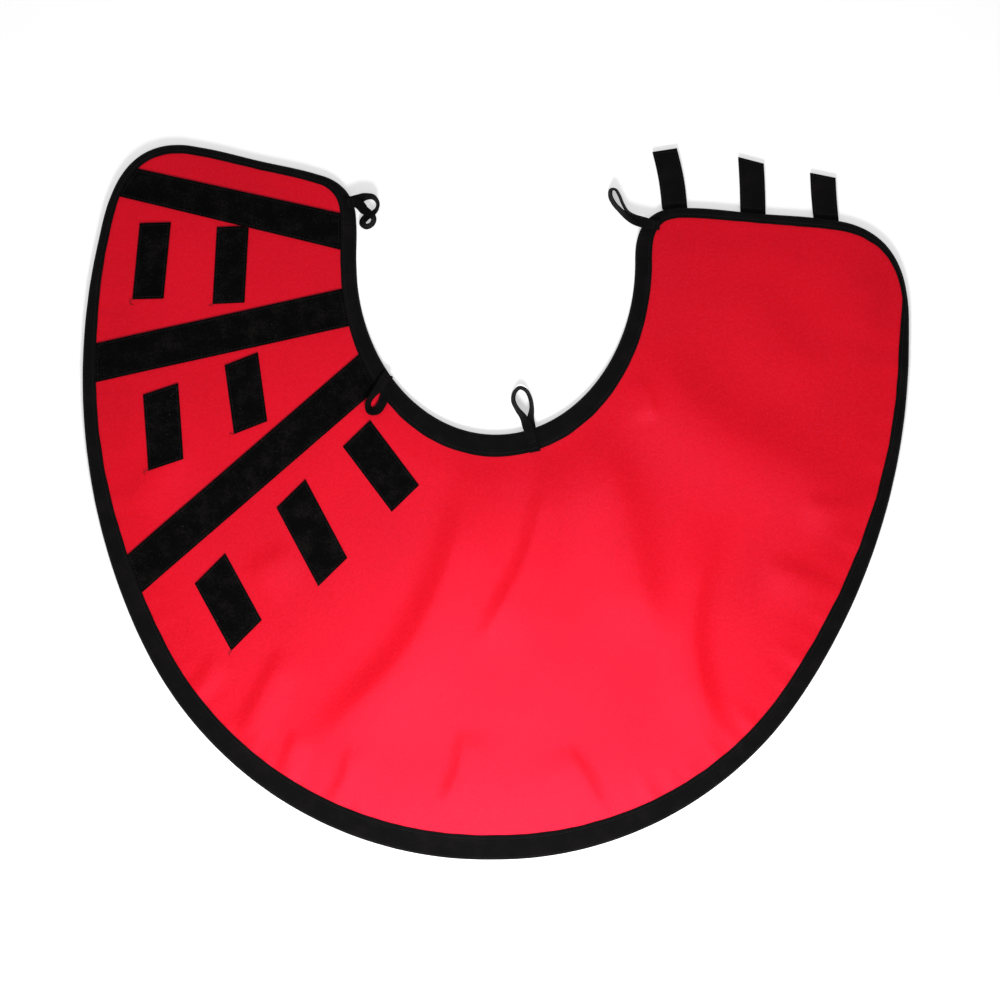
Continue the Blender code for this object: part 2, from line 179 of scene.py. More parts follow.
rimTree = nearestOn(np.arange(len(rim.points)))
hemMargin = 20 * mm  # the hem's own stretch of the rim goes this far past the two outer corners
hemTree = nearestOn(np.flatnonzero((rim.distance > corners["leftOuter"] - hemMargin)
                                   & (rim.distance < corners["rightOuter"] + hemMargin)))


# how the cloth lies: long folds, puckers at the hem and a slight puff
lie = {
    "puff": 1.0 * mm,  # the padded part stands this much over the sewn edge
    "puffFrom": 15 * mm,
    "puffOver": 34 * mm,
    "roll": 1.7 * mm,  # and a soft roll runs along inside the hem
    "rollAt": 62 * mm,
    "rollWidth": 36 * mm,
    "rimShare": 0.32,  # what is left of a fold at the very edge
    "rimOver": 55 * mm,
    "pucker": 0.8 * mm,
    "puckerAt": 18 * mm,
    "puckerReach": 24 * mm,
    "ripples": ((4.3 * mm, 0.0), (7.1 * mm, 1.3), (17.4 * mm, 0.4)),  # three waves: length and start
    "flankOver": 140 * mm,  # roll and puckers rise over this stretch from the outer corners
    "waver": 0.6 * mm,
    "waverScale": 9,
}
# crest of each fold in mm, its height, then the width of its steep side, on the left, and of its gentle one
folds = [
    ([(-196, -262), (-148, -214), (-88, -149), (-46, -64), (-24, 28), (-20, 60)], 4.4, 17, 46),
    ([(-22, -160), (4, -112), (34, -54), (48, 0), (54, 58)], 3.4, 12, 30),
    ([(92, 88), (104, 50), (126, -10), (140, -72), (152, -118), (168, -156)], 4.2, 24, 46),
    ([(140, 176), (168, 124), (214, 78), (280, 42), (340, 6), (366, -26)], 4.4, 30, 52),
    ([(232, -12), (208, -62), (196, -120), (200, -168), (218, -222), (236, -250)], 3.4, 13, 34),
    ([(300, 0), (340, -6), (380, 4), (402, 20)], 2.6, 10, 22),
    ([(262, -62), (304, -74), (342, -92), (380, -112)], 2.4, 10, 24),
    ([(132, 128), (150, 108), (158, 78)], 1.4, 9, 20),
    ([(-56, -312), (-38, -276), (-28, -222)], 1.8, 9, 26),
    ([(62, -240), (88, -276), (106, -322)], 1.6, 9, 28),
    ([(-262, -250), (-240, -205), (-221, -168), (-205, -140)], 2.0, 8, 22),
    ([(-310, -196), (-290, -170), (-276, -150)], 1.4, 6, 14),
    ([(-222, -280), (-206, -250), (-196, -226)], 1.5, 6, 14),
    ([(-166, -312), (-150, -276), (-142, -240)], 1.3, 7, 18),
    ([(-372, -20), (-356, 10), (-330, 40), (-300, 64)], 1.8, 12, 24),
    ([(-250, -80), (-222, -60), (-196, -48)], 1.6, 12, 24),
    ([(250, 240), (262, 200), (292, 150), (340, 120)], 2.0, 20, 40),
    ([(382, 236), (378, 200), (372, 160)], 1.6, 14, 30),
]


def ridge(x, y, crest, height, steep, gentle):
    line = refine(np.array(crest, float) * mm, 8 * mm)
    total = np.linalg.norm(np.diff(line, axis=0), axis=1).sum()
    near, side, share = np.full(x.shape, 9.0), np.zeros(x.shape), np.zeros(x.shape)
    run = 0.0
    for (ax, ay), (bx, by) in zip(line, line[1:]):
        wide, tall = bx - ax, by - ay
        length = math.hypot(wide, tall)
        along = np.clip(((x - ax) * wide + (y - ay) * tall) / length**2, 0, 1)
        away = np.hypot(x - ax - along * wide, y - ay - along * tall)
        closer = away < near
        side = np.where(closer, wide * (y - ay) - tall * (x - ax), side)
        share = np.where(closer, (run + along * length) / total, share)
        near = np.minimum(near, away)
        run += length
    width = np.where(side > 0, steep, gentle) * mm
    return height * mm * smooth(share / 0.3) * smooth((1 - share) / 0.3) * np.exp(-((near / width) ** 2))


def lift(x, y):
    # how far the cloth stands over its flat place
    x, y = np.asarray(x, float), np.asarray(y, float)
    away, fromHem, spot = np.empty(x.shape), np.empty(x.shape), np.empty(x.shape)
    for i, (px, py) in enumerate(zip(x.ravel(), y.ravel())):
        away.flat[i] = rimTree.find((px, py, 0.0))[2]
        _, index, fromHem.flat[i] = hemTree.find((px, py, 0.0))
        spot.flat[i] = rim.distance[index]
    # only round the hem and the flanks
    outside = smooth((spot - corners["leftOuter"]) / lie["flankOver"])
    outside = outside * smooth((corners["rightOuter"] - spot) / lie["flankOver"])
    high = sum(ridge(x, y, *fold) for fold in folds)
    high = high * (lie["rimShare"] + (1 - lie["rimShare"]) * smooth(away / lie["rimOver"]))
    high = high + lie["puff"] * smooth((away - lie["puffFrom"]) / lie["puffOver"])
    high = high + lie["roll"] * outside * np.exp(-(((fromHem - lie["rollAt"]) / lie["rollWidth"]) ** 2))
    ripple = sum(np.sin(spot / length + start) for length, start in lie["ripples"]) / len(lie["ripples"])
    nearHem = np.exp(-((fromHem - lie["puckerAt"]) / lie["puckerReach"]) ** 2)
    high = high + lie["pucker"] * np.maximum(ripple, -0.2) * outside * nearHem
    scale = lie["waverScale"]
    waver = np.array([noise.noise((px * scale, py * scale, 0.7)) for px, py in zip(x.ravel(), y.ravel())])
    high = high + lie["waver"] * (waver.reshape(x.shape) * 0.5 + 0.5)
    return np.maximum(high, 0.0)


def deselectAll():
    if bpy.context.object and bpy.context.object.mode != "OBJECT":
        bpy.ops.object.mode_set(mode="OBJECT")
    bpy.ops.object.select_all(action="DESELECT")


def pick(piece):
    deselectAll()
    piece.select_set(True)
    bpy.context.view_layer.objects.active = piece


def spotsOf(piece):
    spots = np.empty(len(piece.data.vertices) * 3)
    piece.data.vertices.foreach_get("co", spots)
    return spots.reshape(-1, 3)


def setSpots(piece, spots):
    piece.data.vertices.foreach_set("co", np.asarray(spots, np.float32).ravel())
    piece.data.update()


def setFlat(piece, flat):
    # keeps the cloth's own metres as the piece's UV, so that a weave stays on it when it bends
    layer = piece.data.uv_layers[0] if piece.data.uv_layers else piece.data.uv_layers.new(name="cloth")
    index = np.empty(len(piece.data.loops), np.int32)
    piece.data.loops.foreach_get("vertex_index", index)
    layer.data.foreach_set("uv", np.asarray(flat, np.float32)[index].ravel())


def applyAll(piece):
    pick(piece)
    for modifier in list(piece.modifiers):
        bpy.ops.object.modifier_apply(modifier=modifier.name)


def layGrid(name, columns, rows, place):
    # a flat grid of cloth, whose points go where place(u, v) says
    deselectAll()
    bpy.ops.mesh.primitive_grid_add(x_subdivisions=columns, y_subdivisions=rows, size=1, location=(0, 0, 0))
    made = bpy.context.object
    made.name = made.data.name = name
    start = spotsOf(made)
    spots, flat = place(start[:, 0] + 0.5, start[:, 1] + 0.5)
    setSpots(made, spots)
    setFlat(made, flat)
    return made


def thicken(piece, thickness, offset=-1.0, soften=0.0):
    solid = piece.modifiers.new("thickness", "SOLIDIFY")
    solid.thickness = thickness
    solid.offset = offset
    solid.use_even_offset = True
    if soften:
        edge = piece.modifiers.new("soft edge", "BEVEL")
        edge.width = soften
        edge.segments = 2
        edge.limit_method = "ANGLE"
        edge.angle_limit = math.radians(50)
    applyAll(piece)
    pick(piece)
    bpy.ops.object.shade_smooth_by_angle(angle=math.radians(40))
    return piece


def fromCad(nodeName, name, spacing):
    # a CAD piece as one clean mesh, cut into a fine net so that it can follow the cloth
    mesh = cadNodes[nodeName].data.copy()
    made = bpy.data.objects.new(name, mesh)
    mesh.name = name
    mesh.materials.clear()
    bpy.context.scene.collection.objects.link(made)
    pick(made)
    bpy.ops.object.mode_set(mode="EDIT")
    bpy.ops.mesh.select_all(action="SELECT")
    bpy.ops.mesh.remove_doubles(threshold=1e-5)
    bpy.ops.mesh.dissolve_limited(angle_limit=math.radians(1))
    low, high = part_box(nodeName)
    for axis in (0, 1):
        normal = [0.0, 0.0, 0.0]
        normal[axis] = 1.0
        cuts = max(1, int((high[axis] - low[axis]) / spacing))
        for cut in range(1, cuts):
            spot = [0.0, 0.0, 0.0]
            spot[axis] = low[axis] + (high[axis] - low[axis]) * cut / cuts
            bpy.ops.mesh.select_all(action="SELECT")
            bpy.ops.mesh.bisect(plane_co=spot, plane_no=normal)
    bpy.ops.mesh.select_all(action="SELECT")
    bpy.ops.mesh.remove_doubles(threshold=1e-6)
    bpy.ops.object.mode_set(mode="OBJECT")
    edge = made.modifiers.new("soft edge", "BEVEL")
    edge.width = 0.3 * mm
    edge.segments = 2
    edge.limit_method = "ANGLE"
    edge.angle_limit = math.radians(50)
    applyAll(made)
    spots = spotsOf(made)
    setFlat(made, spots[:, :2])
    spots[:, 2] += lift(spots[:, 0], spots[:, 1])
    setSpots(made, spots)
    pick(made)
    bpy.ops.object.shade_smooth_by_angle(angle=math.radians(40))
    return made


def join(pieces, name):
    deselectAll()
    for piece in pieces:
        piece.select_set(True)
    bpy.context.view_layer.objects.active = pieces[0]
    if len(pieces) > 1:
        bpy.ops.object.join()
    made = bpy.context.object
    made.name = made.data.name = name
    return made


# one stitch, the step from stitch to stitch, and the step between the points of a row's line
thread = {"length": 2.5 * mm, "width": 0.62 * mm, "height": 0.5 * mm, "pitch": 3.4 * mm, "spacing": 2 * mm}


def sew(name, line, pitch=thread["pitch"], length=thread["length"], closed=False):
    # a row of stitches: one stitch, repeated and bent along the line
    curve = bpy.data.curves.new(f"{name}_line", "CURVE")
    curve.dimensions = "3D"
    curve.twist_mode = "Z_UP"
    spline = curve.splines.new("POLY")
    spline.points.add(len(line) - 1)
    for point, (x, y, z) in zip(spline.points, line):
        point.co = (x, y, z, 1.0)
    spline.use_cyclic_u = closed
    guide = bpy.data.objects.new(f"{name}_line", curve)
    bpy.context.scene.collection.objects.link(guide)
    deselectAll()
    bpy.ops.mesh.primitive_uv_sphere_add(segments=6, ring_count=5, radius=0.5, rotation=(0, math.pi / 2, 0))
    made = bpy.context.object
    made.name = made.data.name = name
    bpy.ops.object.transform_apply(location=True, rotation=True, scale=True)
    spots = spotsOf(made) * np.array([length, thread["width"], thread["height"]])
    spots[:, 0] += pitch / 2
    setSpots(made, spots)
    row = made.modifiers.new("row", "ARRAY")
    row.fit_type = "FIT_CURVE"
    row.curve = guide
    row.use_relative_offset = False
    row.use_constant_offset = True
    row.constant_offset_displace = (pitch, 0, 0)
    bend = made.modifiers.new("bend", "CURVE")
    bend.object = guide
    bend.deform_axis = "POS_X"
    applyAll(made)
    bpy.ops.object.shade_smooth()
    bpy.data.objects.remove(guide, do_unlink=True)
    return made


def insetLine(places, depth):
    # an anticlockwise outline moved inwards, with its corners kept
    ahead = unit(np.roll(places, -1, axis=0) - places)
    behind = np.roll(ahead, 1, axis=0)
    inwardA = np.stack([-ahead[:, 1], ahead[:, 0]], -1)
    inwardB = np.stack([-behind[:, 1], behind[:, 0]], -1)
    middle = unit(inwardA + inwardB)
    return places + middle * depth / np.maximum((middle * inwardA).sum(-1, keepdims=True), 0.4)


def dense(places, spacing, closed=True):
    # a line of straight runs with extra points in them
    ends = np.vstack([places, places[:1]]) if closed else np.asarray(places)
    out = []
    for a, b in zip(ends, ends[1:]):
        count = max(1, int(np.linalg.norm(b - a) / spacing))
        out.append(a + (b - a) * np.linspace(0, 1, count + 1)[:-1, None])
    if not closed:
        out.append(ends[-1:])
    return np.vstack(out)


class Value:
    # a socket that can stand in a sum
    def __init__(self, recipe, socket):
        self.recipe = recipe
        self.socket = socket

    def __add__(self, other):
        return self.recipe.maths("ADD", self, other)

    def __sub__(self, other):
        return self.recipe.maths("SUBTRACT", self, other)

    def __rsub__(self, other):
        return self.recipe.maths("SUBTRACT", other, self)

    def __mul__(self, other):
        return self.recipe.maths("MULTIPLY", self, other)

    def __truediv__(self, other):
        return self.recipe.maths("DIVIDE", self, other)

    __radd__ = __add__
    __rmul__ = __mul__


class Recipe:
    # a material and the nodes that make it
    def __init__(self, name, roughness=0.8, sheen=0.0, sheenTint=(1, 1, 1, 1), specular=0.5):
        self.material = bpy.data.materials.new(name)
        self.material.use_nodes = True
        self.tree = self.material.node_tree
        self.shader = self.tree.nodes["Principled BSDF"]
        self.shader.inputs["Roughness"].default_value = roughness
        self.shader.inputs["Specular IOR Level"].default_value = specular
        self.shader.inputs["Sheen Weight"].default_value = sheen
        self.shader.inputs["Sheen Roughness"].default_value = 0.45
        self.shader.inputs["Sheen Tint"].default_value = sheenTint

    def plug(self, socket, value):
        if isinstance(value, Value):
            self.tree.links.new(value.socket, socket)
        else:
            socket.default_value = value

    def node(self, kind, settings, sockets):
        # adds a node: its settings first, then a value or a link for each socket by name or number
        made = self.tree.nodes.new(kind)
        for setting, value in settings.items():
            setattr(made, setting, value)
        for socket, value in sockets.items():
            self.plug(made.inputs[socket], value)
        return made

    def maths(self, operation, *values):
        made = self.node("ShaderNodeMath", {"operation": operation}, dict(enumerate(values)))
        return Value(self, made.outputs[0])

    def clothPlace(self):
        uv = Value(self, self.node("ShaderNodeUVMap", {}, {}).outputs["UV"])
        split = self.node("ShaderNodeSeparateXYZ", {}, {"Vector": uv})
        return uv, Value(self, split.outputs[0]), Value(self, split.outputs[1])

    def objectPlace(self):
        return Value(self, self.node("ShaderNodeTexCoord", {}, {}).outputs["Object"])

    def noise(self, place, scale, detail=2.0, roughness=0.5):
        sockets = {"Vector": place, "Scale": scale, "Detail": detail, "Roughness": roughness}
        made = self.node("ShaderNodeTexNoise", {"noise_dimensions": "3D"}, sockets)
        return Value(self, made.outputs["Fac"])

    def ramp(self, value, low, high):
        sockets = {"Value": value, "From Min": low, "From Max": high}
        made = self.node("ShaderNodeMapRange", {"interpolation_type": "SMOOTHSTEP"}, sockets)
        return Value(self, made.outputs[0])

    def wave(self, value, pitch, shift=0.0):
        return self.maths("SINE", value * (2 * math.pi / pitch) + shift)

    def blendColours(self, share, first, second):
        # 0, 6 and 7 are a Mix node's factor and its two colours, and 2 is its mixed colour
        settings = {"data_type": "RGBA", "blend_type": "MIX"}
        made = self.node("ShaderNodeMix", settings, {0: share, 6: first, 7: second})
        return Value(self, made.outputs[2])

    def bump(self, height, distance, strength=1.0):
        made = self.node("ShaderNodeBump", {}, {"Height": height, "Distance": distance, "Strength": strength})
        self.plug(self.shader.inputs["Normal"], Value(self, made.outputs[0]))

    def finish(self, colour, roughness=None):
        self.plug(self.shader.inputs["Base Color"], colour)
        if roughness is not None:
            self.plug(self.shader.inputs["Roughness"], roughness)
        return self.material


# each finish: its colours, and the pitch of its weave
redLook = {
    "deep": (0.76, 0.0012, 0.0040, 1),
    "body": (0.92, 0.0018, 0.0065, 1),
    # a painted highlight: the pale pink of the weave's glints, put into the colour as specks
    "paintedGlint": (0.92, 0.017, 0.060, 1),
    "pitch": 0.75 * mm,
    "sheen": (1.0, 0.22, 0.42, 1),
    "gloss": (1.0, 0.15, 0.35, 1),
}
tapeLook = {
    "dark": (0.0017, 0.0015, 0.0017, 1),
    "worn": (0.0062, 0.0047, 0.0052, 1),
    "pitch": 1.1 * mm,
    "bindingRibs": 2.6 * mm,
    "webbingRibs": 1.7 * mm,
    "loopRibs": 1.25 * mm,
}
pileLook = {
    "dark": (0.0014, 0.0013, 0.0015, 1),
    "worn": (0.0078, 0.0066, 0.0062, 1),
    "lint": (0.060, 0.053, 0.050, 1),
}
threadLook = {"dark": (0.0045, 0.0040, 0.0042, 1), "pale": (0.0190, 0.0155, 0.0160, 1)}
feltLook = {"dark": (0.46, 0.43, 0.37, 1), "pale": (0.66, 0.63, 0.56, 1)}
liningLook = {"dark": (0.24, 0.24, 0.25, 1), "pale": (0.36, 0.36, 0.37, 1), "pitch": 1.6 * mm}
hookLook = {"dark": (0.005, 0.005, 0.0055, 1), "pale": (0.013, 0.0125, 0.013, 1)}


def redCloth():
    # a coated plain weave: cloudy in its depth of red, with pinkish specks of painted highlight scattered
    # over it at random
    recipe = Recipe("red fire cloth", roughness=0.5, sheen=0.03, sheenTint=redLook["sheen"], specular=0.75)
    recipe.shader.inputs["Specular Tint"].default_value = redLook["gloss"]
    place, across, along = recipe.clothPlace()
    weave = recipe.wave(across, redLook["pitch"]) * recipe.wave(along, redLook["pitch"])
    grain = recipe.noise(place, 900.0, 2.0, 0.6)
    cloud = recipe.noise(place, 7.0, 3.0, 0.55)
    slub = recipe.noise(place, 160.0, 3.0, 0.6)
    paintedGlint = recipe.noise(place, 430.0, 4.0, 0.75)
    share = recipe.ramp(cloud * 0.5 + slub * 0.25 + grain * 0.25, 0.30, 0.70)
    colour = recipe.blendColours(share, redLook["deep"], redLook["body"])
    # pinkish specks of painted highlight, scattered at random over the red
    colour = recipe.blendColours(recipe.ramp(paintedGlint, 0.40, 0.78) * 0.55, colour, redLook["paintedGlint"])
    recipe.bump(weave * 0.35 + grain * 0.4 + slub * 0.9 + paintedGlint * 0.7, 0.00013, 0.8)
    return recipe.finish(colour, 0.31 + slub * 0.14)


def wovenTape(name, ribs):
    # black webbing: ribs across it, a fine twill along it, and a little wear on its high spots
    recipe = Recipe(name, roughness=0.8, sheen=0.015, sheenTint=(1.0, 0.85, 0.9, 1), specular=0.12)
    place, along, across = recipe.clothPlace()
    twill = recipe.wave(along + across, tapeLook["pitch"])
    rib = recipe.wave(across, ribs)
    fuzz = recipe.noise(place, 1400.0, 2.0, 0.6)
    cloud = recipe.noise(place, 45.0, 3.0, 0.6)
    wear = recipe.ramp(cloud * 0.7 + fuzz * 0.3 + rib * 0.04, 0.42, 0.74)
    recipe.bump(twill * 0.45 + rib * 0.35 + fuzz * 0.6, 0.00030, 0.8)
    return recipe.finish(recipe.blendColours(wear, tapeLook["dark"], tapeLook["worn"]), 0.72 + fuzz * 0.2)


def loopPile():
    # brushed loops with specks of lint caught in them
    recipe = Recipe("loop pile", roughness=0.95, sheen=0.012, sheenTint=(0.9, 0.9, 0.95, 1), specular=0.06)
    place, across, along = recipe.clothPlace()
    pile = recipe.noise(place, 1500.0, 3.0, 0.7)
    tuft = recipe.noise(place, 420.0, 2.0, 0.6)
    worn = recipe.ramp(recipe.noise(place, 60.0, 3.0, 0.6) * 0.55 + tuft * 0.45, 0.44, 0.68)
    speck = recipe.ramp(recipe.noise(place, 520.0, 1.0, 0.4), 0.735, 0.79)
    patchy = recipe.ramp(recipe.noise(place, 38.0, 2.0, 0.5), 0.46, 0.62)
    lint = speck * patchy
    recipe.bump(pile + tuft * 0.8, 0.0007, 0.9)
    colour = recipe.blendColours(worn, pileLook["dark"], pileLook["worn"])
    return recipe.finish(recipe.blendColours(lint * 0.85, colour, pileLook["lint"]), 0.88 + pile * 0.12)


def plainThread():
    recipe = Recipe("black thread", roughness=0.6, sheen=0.02, specular=0.16)
    place = recipe.objectPlace()
    strand = recipe.noise(place, 2600.0, 1.0, 0.5)
    recipe.bump(strand, 0.0002, 0.5)
    share = recipe.ramp(strand, 0.3, 0.7)
    return recipe.finish(recipe.blendColours(share, threadLook["dark"], threadLook["pale"]))


def feltBody():
    recipe = Recipe("needled felt", roughness=0.95, specular=0.1)
    place = recipe.objectPlace()
    fibre = recipe.noise(place, 700.0, 4.0, 0.7)
    cloud = recipe.noise(place, 40.0, 2.0, 0.5)
    recipe.bump(fibre, 0.0006, 0.8)
    share = recipe.ramp(fibre * 0.5 + cloud * 0.5, 0.3, 0.7)
    return recipe.finish(recipe.blendColours(share, feltLook["dark"], feltLook["pale"]))


def liningCloth():
    recipe = Recipe("glass lining", roughness=0.7, sheen=0.1, specular=0.35)
    place, across, along = recipe.clothPlace()
    weave = recipe.wave(across, liningLook["pitch"]) * recipe.wave(along, liningLook["pitch"])
    cloud = recipe.noise(place, 22.0, 3.0, 0.6)
    fuzz = recipe.noise(place, 800.0, 2.0, 0.6)
    recipe.bump(weave * 0.8 + fuzz * 0.3, 0.0003, 0.8)
    share = recipe.ramp(cloud * 0.3 + weave * 0.16 + fuzz * 0.5, 0.15, 0.85)
    return recipe.finish(recipe.blendColours(share, liningLook["dark"], liningLook["pale"]))


def hookPlastic():
    recipe = Recipe("hook nylon", roughness=0.42, specular=0.5)
    place = recipe.objectPlace()
    mark = recipe.noise(place, 900.0, 2.0, 0.5)
    recipe.bump(mark, 0.0001, 0.4)
    colour = recipe.blendColours(recipe.ramp(mark, 0.3, 0.7), hookLook["dark"], hookLook["pale"])
    return recipe.finish(colour, 0.34 + mark * 0.2)


materials = {
    "red": redCloth(),
    "binding": wovenTape("binding tape", tapeLook["bindingRibs"]),
    "webbing": wovenTape("tab webbing", tapeLook["webbingRibs"]),
    "loopStrip": wovenTape("loop tape strip", tapeLook["loopRibs"]),
    "pile": loopPile(),
    "thread": plainThread(),
    "felt": feltBody(),
    "lining": liningCloth(),
    "hooks": hookPlastic(),
}
print("finishes mixed:", len(materials))


def dress(piece, material):
    piece.data.materials.clear()
    piece.data.materials.append(materials[material])
    return piece


# how many squares of net each layer has along and across, and which finish and slot it takes
layers = {
    "outer_shell": {"net": (400, 100), "finish": "red", "slot": "red_cloth"},
    "insulation_core": {"net": (400, 30), "finish": "felt", "slot": "core_felt"},
    "back_lining": {"net": (400, 44), "finish": "lining", "slot": "lining_cloth"},
}
finerAtFold = 0.4  # the net's width on the fold line, as a share of its width when it is even


def overFold(piece):
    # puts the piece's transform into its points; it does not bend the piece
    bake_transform(piece)


def clothPlan(u, v):
    # u runs from the left end round to the right end, v from the outer edge to the neck
    side = np.abs(2 * u - 1)
    side = side * (finerAtFold + (1 - finerAtFold) * side)  # 0 on the fold line and 1 at an end
    left = u < 0.5
    endOuter = np.where(left, corners["leftOuter"], corners["rightOuter"])
    endInner = np.where(left, corners["leftInner"], corners["rightInner"])
    innerStart = np.where(left, 0.0, rim.length)
    outer = rim.at(corners["hem"] + (endOuter - corners["hem"]) * side)
    inner = rim.at(innerStart + (endInner - innerStart) * side)
    # the end's own edge, from its outer corner to its inner one
    end = rim.at(endOuter + (endInner - endOuter) * v)
    foot, head = rim.at(corners["hem"]), rim.at(0.0)
    middle = foot + (head - foot) * v[:, None]
    outerEnd, innerEnd = rim.at(endOuter), rim.at(endInner)
    v, side = v[:, None], side[:, None]
    cornersPart = (1 - side) * ((1 - v) * foot + v * head) + side * ((1 - v) * outerEnd + v * innerEnd)
    return (1 - v) * outer + v * inner + (1 - side) * middle + side * end - cornersPart


def layCloth(name):
    low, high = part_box(f"{name}_left")

    def place(u, v):
        plan = clothPlan(u, v)
        return np.column_stack([plan, high.z + lift(plan[:, 0], plan[:, 1])]), plan

    look = layers[name]
    piece = dress(thicken(layGrid(name, *look["net"], place), high.z - low.z), look["finish"])
    overFold(piece)
    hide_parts(f"{name}_left", f"{name}_right")
    return piece


shellPiece, corePiece, liningPiece = [layCloth(name) for name in layers]
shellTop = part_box("outer_shell_left")[1].z
clothArea = 0.5 * abs(sum(a[0] * b[1] - b[0] * a[1] for a, b in zip(rim.points, rim.points[1:])))
print("cloth layers laid, flat area", round(clothArea, 4))


binding = {
    "thickness": 1.0 * mm,
    "rows": 34,
    "spacing": 3.0 * mm,
    "edgeOut": 1.3 * mm,  # from the layers' edge out to the binding's
    "stitchInset": 2.6 * mm,
    "stitchFrom": 2 * mm,  # the first and the last stitch stand this far from the tape's ends
    "stitchDepth": 0.05 * mm,
    "groove": 0.32 * mm,  # how deep the stitches pull the tape in
    "grooveWidth": 1.5 * mm,
    "backGroove": 0.6,  # the back's share of it
    "waver": 0.35 * mm,
    "lap": 0.75 * mm,  # over the ends of the bands
    "joinX": 138.2 * mm,  # where the neck's own tape meets the hem's, from the middle
    "joinGap": 0.02 * mm,
}
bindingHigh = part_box("hem_binding_left")[1].z
wrapRadius = bindingHigh / 2
# how the CAD binding's legs are measured: a ray goes in from the edge at each step along the rim
measure = {"step": 9 * mm, "from": 0.7 * mm, "reach": 60 * mm, "skin": 0.5 * mm, "foldGap": 2 * mm}


def legReach(height):
    # how far each leg of the CAD binding comes in from the edge, asked all round the rim
    trees = []
    for name in ("hem_binding_left", "hem_binding_right", "neck_binding_left", "neck_binding_right"):
        trees.append(BVHTree.FromPolygons([v.co for v in cadNodes[name].data.vertices],
                                          [p.vertices for p in cadNodes[name].data.polygons]))
    asked, reached = [], []
    for distance in np.arange(measure["step"] / 3, rim.length, measure["step"]):
        x, y = rim.at(distance)
        tx, ty, *_ = rim.ahead(distance)
        if abs(x) < measure["foldGap"]:
            continue
        found = []
        inward = Vector((-ty, tx, 0.0))
        root = Vector((x, y, height)) + inward * measure["from"]
        for tree in trees:
            hit = tree.ray_cast(root, inward, measure["reach"])
            if hit[0] is not None:
                found.append(hit[3] + measure["from"] + binding["edgeOut"])
        if found:
            asked.append(distance)
            reached.append(min(found))
    reached = np.array(reached)
    middle = np.array([np.median(reached[max(0, i - 2): i + 3]) for i in range(len(reached))])
    return lambda distance: np.interp(distance % rim.length, asked, middle, period=rim.length)


faceReach, backReach = legReach(bindingHigh - measure["skin"]), legReach(measure["skin"])


def edgeFrame(distance):
    place, ahead = rim.at(distance), rim.ahead(distance, 0.003)[..., :2]
    inward = np.stack([-ahead[..., 1], ahead[..., 0]], -1)
    return place - inward * binding["edgeOut"], inward


def foldTape(name, start, stop):
    columns = int((stop - start) / binding["spacing"])

    def place(u, v):
        distance = start + (stop - start) * u
        edge, inward = edgeFrame(distance)
        waver = np.array([noise.noise((d * 55, 3.1, 0.0)) for d in distance]) * binding["waver"]
        face, back = faceReach(distance) + binding["lap"] + waver, backReach(distance)
        backFlat, faceFlat = back - wrapRadius, face - wrapRadius
        total = backFlat + math.pi * wrapRadius + faceFlat
        run = v * total
        angle = np.clip((run - backFlat) / wrapRadius, 0, math.pi)
        onFace = np.maximum(run - backFlat - math.pi * wrapRadius, 0)
        onBack = np.maximum(backFlat - run, 0)
        depth = wrapRadius * (1 - np.sin(angle)) + onFace + onBack
        height = wrapRadius * (1 - np.cos(angle))
        fromEnd = np.minimum(total - run, run) - binding["stitchInset"]
        groove = binding["groove"] * np.exp(-((fromEnd / binding["grooveWidth"]) ** 2))
        height = height - np.where(onFace > 0, groove, 0)
        height = height + np.where(onBack > 0, groove, 0) * binding["backGroove"]
        plan = edge + inward * depth[:, None]
        spots = np.column_stack([plan, height + lift(plan[:, 0], plan[:, 1])])
        return spots, np.column_stack([distance, run])

    piece = thicken(layGrid(name, columns, binding["rows"], place), binding["thickness"], soften=0.22 * mm)
    return dress(piece, "binding")


def edgeStitches(name, start, stop):
    distance = np.arange(start + binding["stitchFrom"], stop - binding["stitchFrom"], binding["spacing"] / 2)
    edge, inward = edgeFrame(distance)
    faceHeight = bindingHigh - binding["groove"] + binding["stitchDepth"]
    backHeight = binding["groove"] * binding["backGroove"] - binding["stitchDepth"]
    rows = []
    for side, reach, height in (("face", faceReach, faceHeight), ("back", backReach, backHeight)):
        plan = edge + inward * (reach(distance) - binding["stitchInset"])[:, None]
        high = lift(plan[:, 0], plan[:, 1])
        rows.append(sew(f"{name}_{side}", np.column_stack([plan, high + height])))
    return dress(join(rows, name), "thread")


def joinPlace(side, x):
    # where the neck's own binding ends against the hem's
    spot = (x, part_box(f"neck_binding_{side}")[1].y)
    return rim.distance[:-1][np.argmin(abs(rim.points[:-1] - spot).sum(1))]


leftJoin, rightJoin = joinPlace("left", -binding["joinX"]), joinPlace("right", binding["joinX"])
for name, start, stop in (("hem_binding", leftJoin + binding["joinGap"], rightJoin - binding["joinGap"]),
                          ("neck_binding", rightJoin - rim.length, leftJoin)):
    tape = foldTape(name, start, stop)
    stitching = edgeStitches(f"{name}_stitching", start, stop)
    overFold(tape)
    overFold(stitching)
    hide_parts(f"{name}_left", f"{name}_right")
    print(name, "folded over the edge, length", round(stop - start, 3))


# bands and patches of loop tape
fastener = {"net": 5 * mm, "stitchInset": 2.3 * mm, "stitchDepth": 0.05 * mm}
looseEnd = {"spacing": 0.4 * mm, "over": 0.3 * mm, "drop": 2.5, "pitch": 0.9 * mm, "length": 1.5 * mm}
